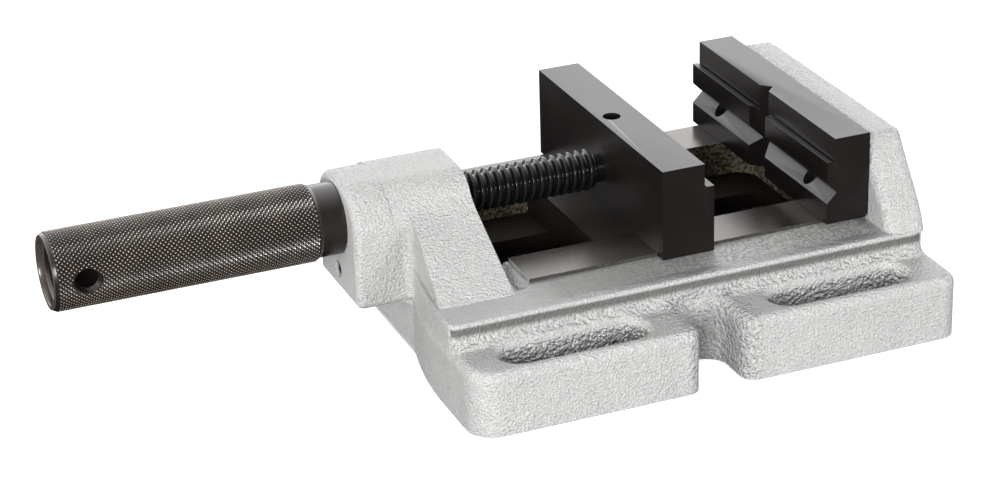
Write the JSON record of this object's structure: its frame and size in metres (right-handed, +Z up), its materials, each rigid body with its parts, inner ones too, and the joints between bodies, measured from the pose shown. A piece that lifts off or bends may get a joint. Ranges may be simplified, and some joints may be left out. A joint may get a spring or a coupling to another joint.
{
  "type": "drill press vise",
  "caption": "Low drill press vise with a one-sided slotted base, stepped V-grooved jaws and a hollow knurled handle",
  "frame": {"origin": "the middle of the two mounting slots, on the plane that the base stands on", "axes": "+X along the spindle from the handle to the fixed jaw, +Z up, +Y to the left seen from the handle"},
  "size_m": [0.278, 0.1385, 0.0605],
  "materials": {
    "cast_body": "silver-grey paint over sand-cast iron with an orange-peel grain, ways and land milled bare",
    "blackened_jaw": "ground steel, blackened, faint grinding lines",
    "blackened_handle": "diamond knurled and blackened, bright worn tips",
    "screw_steel": "rolled thread, blackened and oiled",
    "bright_steel": "bright hardened steel",
    "bronze": "turned bearing bronze",
    "dark_screws": "blackened high-tensile screws",
    "guide_steel": "milled steel, blackened"
  },
  "bodies": {
    "base": {"body": "cast_body", "fixed_jaw": "blackened_jaw", "fixed_jaw_screws": "dark_screws", "bearing_bush": "bronze", "thrust_washer": "bright_steel", "retaining_pin": "bright_steel", "pin_grub_screw": "bright_steel"},
    "crank": {"handle": "blackened_handle", "drive_nut": "screw_steel"},
    "slider": {"moving_jaw": "blackened_jaw", "spindle": "screw_steel", "spindle_lock_screw": "dark_screws", "guide_block": "guide_steel", "guide_screws": "dark_screws", "keeper_plate": "guide_steel", "keeper_screws": "dark_screws"}
  },
  "joints": [
    {"name": "handle_turn", "type": "hinge", "parent": "base", "child": "crank", "pos_m": [-0.0975, 0.0745, 0.0431], "axis": [1, 0, 0], "range_deg": [-5400, 4908]},
    {"name": "jaw_slide", "type": "slide", "parent": "base", "child": "slider", "axis": [1, 0, 0], "range_m": [-0.045, 0.0409]}
  ],
  "couplings": [
    {"joint": "handle_turn", "follows": "jaw_slide", "rad_per_m": 2094.4}
  ]
}
